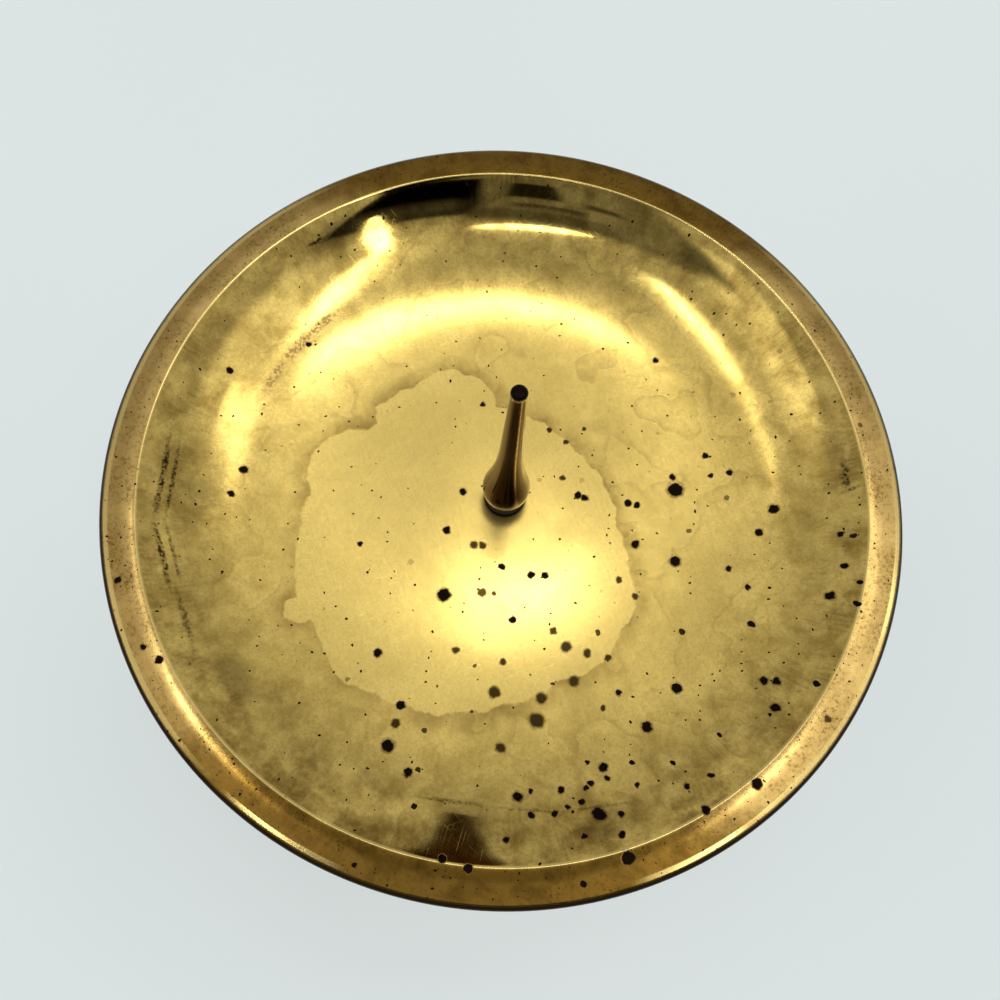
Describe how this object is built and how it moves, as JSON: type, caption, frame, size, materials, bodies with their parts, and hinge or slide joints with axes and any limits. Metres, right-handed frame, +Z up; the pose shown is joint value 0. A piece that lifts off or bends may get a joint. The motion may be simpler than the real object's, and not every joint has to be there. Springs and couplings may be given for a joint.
{
  "type": "pricket candle stand",
  "caption": "Brass pricket candle stand: a wide drip dish with a turned central spike for a pillar candle, on a slim stem with a knop and a hollow trumpet foot.",
  "frame": {"origin": "centre of the foot's underside, on the table", "axes": "+Z up along the stem and the pricket; the stand is round about Z, so X and Y are free"},
  "size_m": [0.15, 0.15, 0.2155],
  "materials": {
    "dish_brass": "worn polish with tarnish clouds, a water stain and dark spots",
    "turned_brass": "turned and polished, lightly browned",
    "foot_brass": "polished above, plain cast skin below",
    "zinc_steel": "zinc plated"
  },
  "bodies": {
    "root": {"dish": "dish_brass", "pricket": "turned_brass", "dish_seat": "turned_brass", "upper_tube": "turned_brass", "knop": "turned_brass", "lower_tube": "turned_brass", "foot_collar": "turned_brass", "foot": "foot_brass", "tie_rod": "zinc_steel", "washer": "zinc_steel", "spring_washer": "zinc_steel", "nut": "zinc_steel"}
  },
  "joints": []
}
